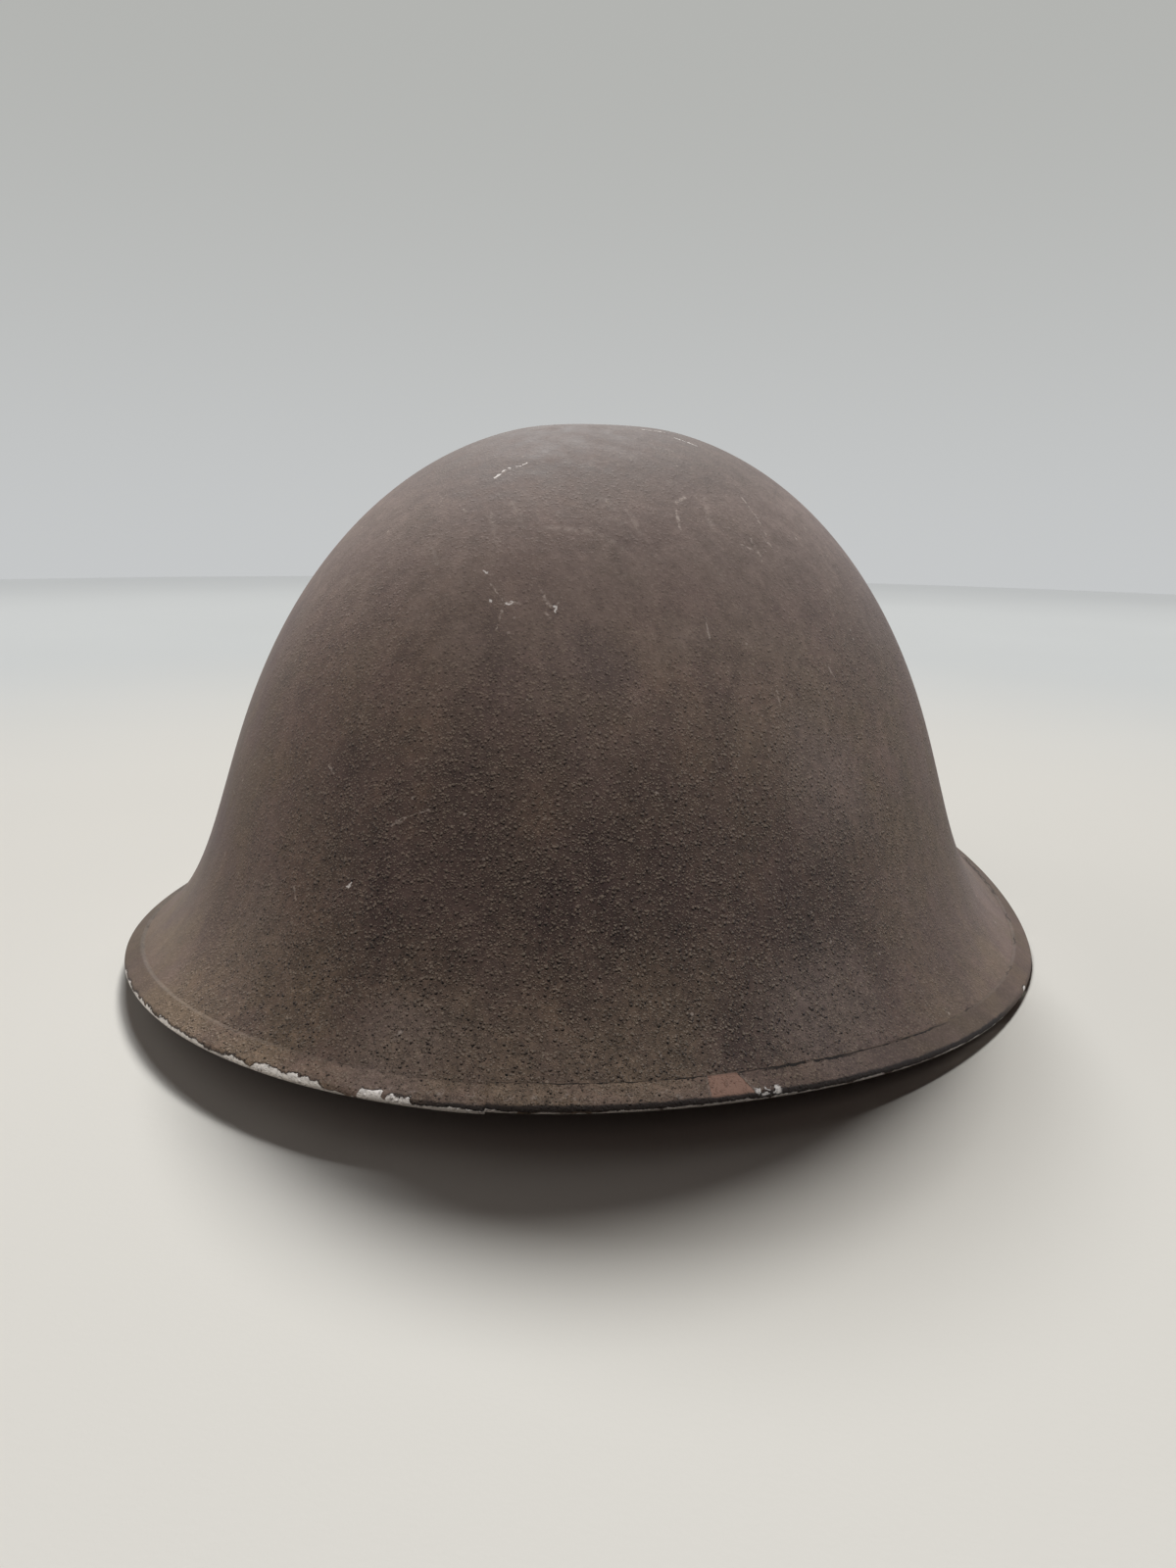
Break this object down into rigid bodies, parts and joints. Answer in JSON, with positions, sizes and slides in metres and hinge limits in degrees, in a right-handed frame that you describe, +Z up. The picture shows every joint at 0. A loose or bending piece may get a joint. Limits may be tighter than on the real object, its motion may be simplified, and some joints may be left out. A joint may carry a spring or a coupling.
{
  "type": "steel combat helmet",
  "caption": "Deep steel helmet bowl with a flared, strip-edged brim, a snap-out cradle liner and a webbing chinstrap on inner lugs.",
  "frame": {"origin": "on the ground under the middle of the brim, in the helmet's resting pose", "axes": "+Z up, -Y towards the front of the helmet, +X towards the wearer's left"},
  "size_m": [0.267, 0.3052, 0.1483],
  "materials": {
    "shell_paint": "worn gritty matt brown-grey paint",
    "rim_paint": "worn smooth matt brown-grey paint",
    "lug_paint": "matt brown-grey paint",
    "zinc_steel": "dull plated steel",
    "brass": "tarnished brass",
    "oilcloth": "black oilcloth over fibre",
    "sweat_cloth": "worn black oilcloth",
    "fibre": "pressed vulcanised fibre",
    "rubber": "old black rubber",
    "pad_rubber": "soft cellular rubber",
    "webbing": "khaki elasticated webbing"
  },
  "bodies": {
    "helmet": {"shell": "shell_paint", "rim_band": "rim_paint", "crown_rivet": "shell_paint", "crown_washer": "zinc_steel", "liner_stud": "brass", "lug_left": "lug_paint", "lug_right": "lug_paint"},
    "liner": {"liner_socket": "brass", "socket_plate": "brass", "long_strap": "oilcloth", "cross_strap": "oilcloth", "liner_band": "fibre", "strap_rivets": "brass", "buffer_front_left": "rubber", "buffer_front_right": "rubber", "buffer_rear_left": "rubber", "buffer_rear_right": "rubber", "buffer_rivets": "brass", "sweatband": "sweat_cloth", "crown_pad": "pad_rubber"},
    "chinstrap": {"chinstrap": "webbing", "hook_left": "zinc_steel", "hook_right": "zinc_steel"},
    "slider": {"strap_slider": "brass"}
  },
  "joints": [
    {"name": "liner_release", "type": "slide", "parent": "helmet", "child": "liner", "axis": [0, 0, -1], "range_m": [0, 0.15]},
    {"name": "chinstrap_swing", "type": "hinge", "parent": "helmet", "child": "chinstrap", "pos_m": [0, 0.004, 0.017], "axis": [-1, 0, 0], "range_deg": [0, 173]},
    {"name": "slider_slide", "type": "slide", "parent": "chinstrap", "child": "slider", "axis": [-0.2419, 0.9688, -0.0533], "range_m": [-0.012, 0.008]}
  ]
}
